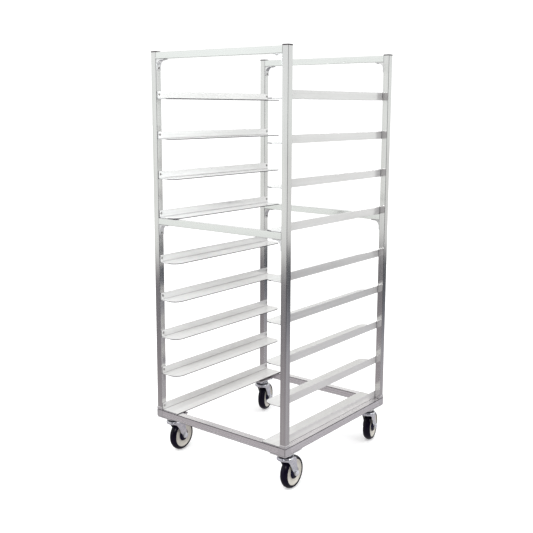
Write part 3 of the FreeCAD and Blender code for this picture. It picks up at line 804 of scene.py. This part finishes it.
def hex_head(bm, flats, height, matrix, dome=0.0):
    """Hexagon with its corners turned down at the top, standing on Z from 0 to height."""
    steps = 36
    rings = []
    # (height, how far a corner may reach past half the flats)
    levels = ((0.0, 0.96), (0.3, 1.2), (height - 1.1, 1.2), (height - 0.35, 1.02), (height, 0.93))
    for level, cut in levels:
        ring = []
        for step in range(steps):
            angle = math.radians(360 * step / steps)
            local = math.radians(((360 * step / steps) % 60) - 30)
            radius = min(flats / 2 / math.cos(local), cut * flats / 2)
            ring.append((radius * math.cos(angle), radius * math.sin(angle), level))
        rings.append(ring)
    if dome:
        for share, rise in ((0.62, 0.0), (0.60, dome * 0.6), (0.48, dome), (0.30, dome)):
            ring = []
            for step in range(steps):
                angle = math.radians(360 * step / steps)
                radius = share * flats / 2 * 1.15
                ring.append((radius * math.cos(angle), radius * math.sin(angle), height + rise))
            rings.append(ring)
    move(bm, skin(bm, rings), matrix)


def caster_places():
    """For each corner, two matrices: its swivel axis on the floor, and its turn at rest."""
    joints = {joint["name"]: joint for joint in frame["joints"]}
    places = {}
    for corner in CORNERS:
        pivot = Vector(joints["swivel_" + corner]["pos_m"]) / MM
        axle = joints["wheel_spin_" + corner]["axis"]
        angle = math.atan2(axle[1], axle[0])
        places[corner] = (Matrix.Translation((pivot.x, pivot.y, 0)), Matrix.Rotation(angle, 4, "Z"))
    return places


def caster_heights():
    """Top of the caster plates, top of the crowns and height of the axles, in millimetres."""
    plate_top = box_mm("caster_plates")[1].z
    crown_top = box_mm("fork_front_left")[1].z
    tyre_low, tyre_high = box_mm("tyre_front_left")
    return plate_top, crown_top, (tyre_low.z + tyre_high.z) / 2


PLATE_TOP, CROWN_TOP, WHEEL_RADIUS = caster_heights()


def build_caster_tops():
    plates = bmesh.new()
    bolts = bmesh.new()
    under = PLATE_TOP - PLATE_THICK
    foot = CROWN_TOP + 0.4
    pin_head = CROWN_TOP - KING_PIN_DROP
    outline = rounded_rectangle(*PLATE_SIZE, PLATE_CORNER, steps=8)
    for place, _ in caster_places().values():
        prism(plates, outline, under, PLATE_TOP, 0.5, place)
        # Raceway between the plate and the crown, with the king pin inside it.
        race = [
            (foot, 0.0),
            (foot, 22.0),
            (foot + 0.8, 23.0),
            (foot + 2.6, 23.2),
            (foot + 3.4, 25.2),
            (foot + 4.4, 26.0),
            (foot + 7.0, 26.0),
            (foot + 8.2, 25.4),
            (foot + 9.4, 23.4),
            (under - 2.6, 22.6),
            (under - 1.0, 23.6),
            (under, 25.8),
            (under, 0.0),
        ]
        turned(plates, race, place, axis="Z")
        # Riveted head of the king pin, under the crown.
        pin = [
            (pin_head, 0.0),
            (pin_head, 7.0),
            (pin_head + 0.9, 9.2),
            (pin_head + 2.1, 10.0),
            (pin_head + 3.5, 9.8),
            (pin_head + 3.5, 6.0),
            (foot + 0.2, 6.0),
            (foot + 0.2, 0.0),
        ]
        turned(plates, pin, place, axis="Z", segments=32)
        for sign_x in (-1, 1):
            for sign_y in (-1, 1):
                spot = Matrix.Translation((sign_x * PLATE_BOLTS[0], sign_y * PLATE_BOLTS[1], under))
                spot = place @ spot
                hex_head(bolts, BOLT_FLATS, 4.4, spot @ Matrix.Rotation(math.pi, 4, "X"))
                turned(bolts, [(0.0, 0.0), (0.0, 4.0), (7.0, 4.0), (7.0, 0.0)], spot, 24, "Z")
    add_piece("v_caster_plates", plates, ZINC, "rack", ["caster_plates"])
    add_piece("v_plate_bolts", bolts, ZINC, "rack", ["plate_bolts"])


def fork_columns():
    """Angles round the crown: (degrees, position across a leg or None, side of the leg)."""
    leg_steps, arc_steps = 18, 10
    columns = []
    for side, middle in ((1, 0.0), (-1, 180.0)):
        for step in range(leg_steps + 1):
            share = -1 + 2 * step / leg_steps
            columns.append((middle + LEG_HALF_ANGLE * share, share * side, side))
        for step in range(1, arc_steps):
            turn = (180 - 2 * LEG_HALF_ANGLE) * step / arc_steps
            columns.append((middle + LEG_HALF_ANGLE + turn, None, side))
    return columns


def along_run(points, share):
    """Point at a share of the way along a run of points, counted by its segments."""
    place = share * (len(points) - 1)
    index = min(int(place), len(points) - 2)
    return Vector(points[index]).lerp(Vector(points[index + 1]), place - index)


def leg_edges():
    """Front and rear edges of a leg as (along, up) points, from the crown's rim to the eye."""
    rim = CROWN_TOP - CROWN_HEIGHT
    reach = CROWN_RADIUS * math.sin(math.radians(LEG_HALF_ANGLE))
    front = [
        (-reach, rim), (-21, rim - 2.4), (-12, rim - 6.5), (-5, rim - 13.5), (1.5, rim - 22), (8, rim - 31),
        (13, rim - 39), (17, rim - 48), (22, rim - 56), (TRAIL - LEG_EYE, WHEEL_RADIUS),
    ]
    rear = [
        (reach, rim), (37, rim - 0.6), (41.5, rim - 2.6), (43.2, rim - 8), (44.4, rim - 18), (46, rim - 29),
        (48.5, rim - 39), (51, rim - 49), (53.4, rim - 57), (TRAIL + LEG_EYE, WHEEL_RADIUS),
    ]
    return front, rear


def fork_sheet():
    """Outer surface of the pressed fork as rows of points, one column per angle."""
    columns = fork_columns()
    crown = [(6.3, 0.1), (12.0, 0.0), (23.0, 0.0), (27.0, 0.5), (30.0, 2.0), (32.0, 4.4)]
    rows = []
    for radius, drop in crown + [(CROWN_RADIUS, 7.6), (CROWN_RADIUS, CROWN_HEIGHT)]:
        row = []
        for angle, _, _ in columns:
            turn = math.radians(angle)
            row.append((radius * math.cos(turn), radius * math.sin(turn), CROWN_TOP - drop))
        rows.append(row)
    front, rear = leg_edges()
    legs = []
    steps = 27
    face = LEG_INSIDE + LEG_THICK
    for step in range(1, steps + 1):
        share = step / steps
        front_at, rear_at = along_run(front, share), along_run(rear, share)
        row = {}
        for index, (_, across, side) in enumerate(columns):
            if across is None:
                continue
            # Positive across is the leg's rear edge on both sides.
            point = front_at.lerp(rear_at, (1 + across) / 2)
            bow = math.sqrt(max(0.0, 1 - across * across))
            start = rows[-1][index]
            lean = 1 - (1 - min(1.0, share * 2.4)) ** 2
            rib = LEG_RIB * min(1.0, 4 * share * (1 - share)) * max(0.0, 1 - (2.2 * across) ** 2)
            out = abs(start[0]) + (face - LEG_RIB - abs(start[0])) * lean + rib
            row[index] = (side * out, point.x, point.y - LEG_EYE * bow * share ** 4)
        legs.append(row)
    return columns, rows, legs


def build_fork(corner, place):
    columns, rows, legs = fork_sheet()
    bm = bmesh.new()
    grid = new_rings(bm, rows)
    count = len(columns)
    for one, other in zip(grid, grid[1:]):
        join_rings(bm, one, other)
    above = dict(enumerate(grid[-1]))
    for row in legs:
        verts = {index: bm.verts.new(point) for index, point in row.items()}
        for index in row:
            following = (index + 1) % count
            if following in row and columns[index][2] == columns[following][2]:
                bm.faces.new((above[index], above[following], verts[following], verts[index]))
        above = verts
    bmesh.ops.recalc_face_normals(bm, faces=bm.faces)
    flat_top = [face for face in bm.faces if face.calc_center_median().z > CROWN_TOP - 0.4]
    if sum(face.normal.z * face.calc_area() for face in flat_top) < 0:
        bmesh.ops.reverse_faces(bm, faces=bm.faces)
    thicken(bm, SHEET_THICK)
    bmesh.ops.transform(bm, matrix=place, verts=bm.verts)
    name = "fork_" + corner
    add_piece("v_" + name, bm, ZINC, name, [name], sharp=40)


def thicken(bm, depth):
    """Give an open sheet a thickness on its inner side, closed round the rim."""
    bm.normal_update()
    rim = [edge for edge in bm.edges if len(edge.link_faces) == 1]
    inner = {vert: bm.verts.new(vert.co - vert.normal * depth) for vert in list(bm.verts)}
    for face in list(bm.faces):
        bm.faces.new([inner[vert] for vert in reversed(face.verts)])
    for edge in rim:
        one, other = edge.verts
        bm.faces.new((one, other, inner[other], inner[one]))


def build_axle(corner, place):
    bm = bmesh.new()
    centre = place @ Matrix.Translation((0, TRAIL, WHEEL_RADIUS))
    face = LEG_INSIDE + LEG_THICK
    turned(bm, [(-face - 1, 0.0), (-face - 1, 6.0), (face + 1, 6.0), (face + 1, 0.0)], centre, 32)
    outside = WASHER_THICK
    washer = [(-0.9, 0.0), (-0.9, 11.6), (-0.6, 12.0), (1.1, 12.0), (outside, 11.6), (outside, 0.0)]
    for side in (1, -1):
        turn = Matrix.Rotation(math.radians(90 * side), 4, "Y")
        turned(bm, [(side * (face + along), radius) for along, radius in washer], centre, 36)
        seat = Matrix.Translation((side * (face + outside), 0, 0)) @ turn
        # A low head with a domed top on one side, a plain nut on the other.
        height, dome = (4.6, 1.9) if side > 0 else (6.5, 0.0)
        hex_head(bm, AXLE_FLATS, height, centre @ seat, dome)
    name = "axle_" + corner
    add_piece("v_" + name, bm, BOLT_ZINC, "fork_" + corner, [name])


def mirrored(points):
    """The points in reverse order, mirrored along the axle."""
    return [(-along, radius) for along, radius in reversed(points)]


def tread_outline():
    """Half of the tyre's section: a rounded foot and side, then one arc over the tread."""
    crown = TREAD_CROWN
    outline = [(14.4, 49.5), (15.1, 49.9), (15.5, 50.8), (15.5, 53.2)]
    steps = 9
    widest = math.asin(15.3 / crown)
    for step in range(steps + 1):
        angle = widest * (1 - step / steps)
        outline.append((crown * math.sin(angle), WHEEL_RADIUS - crown + crown * math.cos(angle)))
    return outline


def build_wheel(corner, place):
    centre = place @ Matrix.Translation((0, TRAIL, WHEEL_RADIUS))

    def wheel_piece(kind, bm, material):
        add_piece("v_" + kind + corner, bm, material, "wheel_" + corner, [kind + corner])

    core = bmesh.new()
    dish = [
        (17.0, 6.3), (17.0, 14.4), (16.4, 15.0), (12.0, 18.0), (10.6, 22.0),
        (9.8, 27.0), (9.6, 33.0), (10.2, 39.0), (11.4, 43.0), (12.6, 44.6),
        (13.6, 45.2), (14.0, 46.0), (14.0, 48.4), (13.6, 49.2), (12.6, 49.5),
    ]
    turned(core, dish + mirrored(dish), centre, 72)
    wheel_piece("wheel_core_", core, WHEEL_PLASTIC)
    tyre = bmesh.new()
    outline = tread_outline()
    turned(tyre, outline + mirrored(outline[:-1]), centre, 96)
    wheel_piece("tyre_", tyre, TYRE)
    guards = bmesh.new()
    cup = [
        (17.05, 6.6), (19.0, 6.6), (19.0, 12.6), (18.4, 14.0), (18.6, 15.6), (18.2, 19.0), (17.0, 22.0),
        (14.8, 24.2), (12.6, 25.0), (12.0, 24.6), (12.0, 23.2), (14.0, 22.8), (16.0, 20.8), (17.05, 17.5),
    ]
    for side in (1, -1):
        turned(guards, [(side * along, radius) for along, radius in cup], centre, 48)
    wheel_piece("thread_guards_", guards, GUARD_PLASTIC)


# ---------------------------------------------------------------- assembly

build_posts_and_rails()
build_caps()
for side in ("left", "right"):
    for level in LEVELS:
        build_slide(side, level)
build_rivets()
build_gussets()
for corner, signs in CORNERS.items():
    build_base_corner(corner, *signs)
build_caster_tops()
for corner, (pivot, turn) in caster_places().items():
    build_fork(corner, pivot @ turn)
    build_axle(corner, pivot @ turn)
    build_wheel(corner, pivot @ turn)


# ---------------------------------------------------------------- floor, light and camera


def dark_side(nodes, heading, colour, distance=None):
    """The studio behind the camera is dark: mix towards near black in that sector."""
    facing = nodes.vector("DOT_PRODUCT", heading, (0.79, -0.61, 0.0))
    share = nodes.spread(facing, 0.0, 1.0, 0.34, 0.62)
    if distance is not None:
        share = nodes.maths("MULTIPLY", share, nodes.spread(distance, 0.0, 1.0, 1.8, 2.8))
    return nodes.mix(share, colour, (0.045, 0.04, 0.05))


def graded_emission(name, reach, ahead, behind):
    """Emission that follows the distance from the origin, on one ramp of (distance, colour)
    steps in front and to the left, and on another behind and to the right."""
    material = bpy.data.materials.new(name)
    material.use_nodes = True
    material.cycles.emission_sampling = "NONE"
    material.node_tree.nodes.clear()
    nodes = Nodes(material.node_tree)
    place = nodes.add("ShaderNodeTexCoord").outputs["Object"]
    distance = nodes.vector("LENGTH", place)
    heading = nodes.vector("NORMALIZE", place)
    share = nodes.maths("DIVIDE", distance, reach)
    ramps = []
    for steps in (ahead, behind):
        ramps.append(nodes.ramp(share, [(step / reach, colour) for step, colour in steps]))
    side = nodes.vector("DOT_PRODUCT", heading, (0.55, 0.83, 0.0))
    colour = nodes.mix(nodes.spread(side, 0.0, 1.0, -0.4, 0.4), *ramps)
    emission = nodes.add("ShaderNodeEmission")
    nodes.feed(emission.inputs["Color"], dark_side(nodes, heading, colour, distance))
    output = nodes.add("ShaderNodeOutputMaterial")
    nodes.feed(output.inputs["Surface"], emission.outputs["Emission"])
    return material


def disc(name, radius, height, material):
    """Level disc in metres."""
    bm = bmesh.new()
    bmesh.ops.create_circle(bm, cap_ends=True, segments=96, radius=radius)
    bmesh.ops.translate(bm, vec=(0, 0, height), verts=bm.verts)
    made = mesh_object(name, bm, material)
    return made


def build_floor():
    """Pale floor, and the studio floor as the metal sees it: a dark ring round a paler spot."""
    shader = Shader("floor_paint")
    cloud = shader.noise(0.7, detail=2.0)
    colour = shader.mix(shader.spread(cloud, 0.0, 1.0), (0.86, 0.86, 0.86), (0.90, 0.90, 0.90))
    painted = shader.finish(colour, 0.9)
    painted.cycles.emission_sampling = "NONE"
    shader.bsdf.inputs["Emission Color"].default_value = (1.0, 1.0, 1.0, 1.0)
    shader.bsdf.inputs["Emission Strength"].default_value = 0.28
    floor = disc("floor", 60.0, 0.0, painted)
    floor.visible_glossy = False
    floor.visible_diffuse = False
    reach = 30.0
    ahead = [
        (0.0, (0.40, 0.37, 0.385)),
        (0.9, (0.36, 0.335, 0.35)),
        (1.8, (0.26, 0.24, 0.255)),
        (2.8, (0.19, 0.18, 0.195)),
        (3.8, (0.16, 0.15, 0.165)),
        (4.4, (0.38, 0.37, 0.37)),
        (5.1, (0.76, 0.77, 0.76)),
        (6.2, (0.88, 0.90, 0.88)),
        (reach, (0.88, 0.91, 0.88)),
    ]
    behind = [
        (0.0, (0.47, 0.45, 0.47)),
        (1.2, (0.42, 0.405, 0.43)),
        (1.8, (0.37, 0.365, 0.395)),
        (2.2, (0.27, 0.27, 0.30)),
        (2.7, (0.17, 0.175, 0.20)),
        (3.2, (0.11, 0.115, 0.135)),
        (3.7, (0.07, 0.075, 0.09)),
        (4.6, (0.10, 0.105, 0.12)),
        (5.2, (0.32, 0.32, 0.32)),
        (5.5, (0.54, 0.54, 0.54)),
        (5.75, (0.80, 0.81, 0.80)),
        (reach, (0.84, 0.86, 0.84)),
    ]
    name = "floor_in_metal"
    seen = disc(name, reach, -MM, graded_emission(name, reach, ahead, behind))
    seen.visible_camera = False
    seen.visible_shadow = False
    seen.visible_transmission = False


def build_world():
    """White room: plain white to the camera, softly graded in the metal."""
    world = bpy.data.worlds.new("studio")
    bpy.context.scene.world = world
    world.use_nodes = True
    world.node_tree.nodes.clear()
    nodes = Nodes(world.node_tree)
    place = nodes.add("ShaderNodeTexCoord").outputs["Generated"]
    split = nodes.add("ShaderNodeSeparateXYZ")
    nodes.feed(split.inputs[0], place)
    height = split.outputs["Z"]
    steps = [
        (0.0, (0.92, 0.95, 0.93)),
        (0.12, (0.96, 0.98, 0.98)),
        (0.20, (0.82, 0.83, 0.81)),
        (0.34, (0.74, 0.735, 0.71)),
        (0.60, (0.95, 0.95, 0.95)),
        (1.0, (1.05, 1.05, 1.05)),
    ]
    heading = nodes.vector("NORMALIZE", nodes.vector("MULTIPLY", place, (1.0, 1.0, 0.0)))
    reflected = nodes.add("ShaderNodeBackground")
    nodes.feed(reflected.inputs["Color"], dark_side(nodes, heading, nodes.ramp(height, steps)))
    plain = nodes.add("ShaderNodeBackground")
    plain.inputs["Color"].default_value = (1.0, 1.0, 1.0, 1.0)
    plain.inputs["Strength"].default_value = 1.15
    path = nodes.add("ShaderNodeLightPath")
    choose = nodes.add("ShaderNodeMixShader")
    nodes.feed(choose.inputs["Fac"], path.outputs["Is Glossy Ray"])
    nodes.feed(choose.inputs[1], plain.outputs[0])
    nodes.feed(choose.inputs[2], reflected.outputs[0])
    output = nodes.add("ShaderNodeOutputWorld")
    nodes.feed(output.inputs["Surface"], choose.outputs[0])


def softbox(name, place, target, width, height, power, colour=(1.0, 1.0, 1.0), mirrored=True):
    """Rectangular area light aimed at a target; mirrored says whether the metal reflects it."""
    light = bpy.data.lights.new(name, "AREA")
    light.shape = "RECTANGLE"
    light.size = width
    light.size_y = height
    light.energy = power
    light.color = colour
    lamp = place_object(name, light)
    lamp.location = place
    lamp.rotation_euler = (Vector(target) - Vector(place)).to_track_quat("-Z", "Y").to_euler()
    lamp.visible_camera = False
    lamp.visible_glossy = mirrored


def build_camera():
    """Camera at the photograph's viewing angle."""
    yaw, pitch, roll = (math.radians(angle) for angle in (38.10, 9.61, 0.21))
    level = math.cos(pitch)
    forward = Vector((-math.sin(yaw) * level, math.cos(yaw) * level, -math.sin(pitch)))
    right = Vector((math.cos(yaw), math.sin(yaw), 0.0))
    up = right.cross(forward)
    tilted_right = math.cos(roll) * right + math.sin(roll) * up
    tilted_up = -math.sin(roll) * right + math.cos(roll) * up
    camera_data = bpy.data.cameras.new("camera")
    camera = place_object("camera", camera_data)
    turn = Matrix((tilted_right, tilted_up, -forward)).transposed().to_4x4()
    place = (1.98143, -2.57227, 1.40596)
    camera.matrix_world = Matrix.Translation(place) @ turn
    camera_data.sensor_width = 36.0
    camera_data.lens = 55.12
    camera_data.shift_y = -0.0385
    bpy.context.scene.camera = camera


build_floor()
build_world()
softbox("key_light", (1.2, -4.0, 3.8), (0.0, 0.0, 0.6), 1.6, 1.6, 90.0)
softbox("fill_light", (4.4, 0.6, 3.2), (0.0, 0.0, 0.6), 1.6, 1.6, 45.0)
softbox(
    "side_light", (0.15, -0.9, 1.5), (-0.3, -0.05, 1.45), 0.4, 0.8, 7.0, (0.90, 0.98, 1.0), mirrored=False
)
build_camera()
bpy.context.scene.view_settings.view_transform = "Standard"
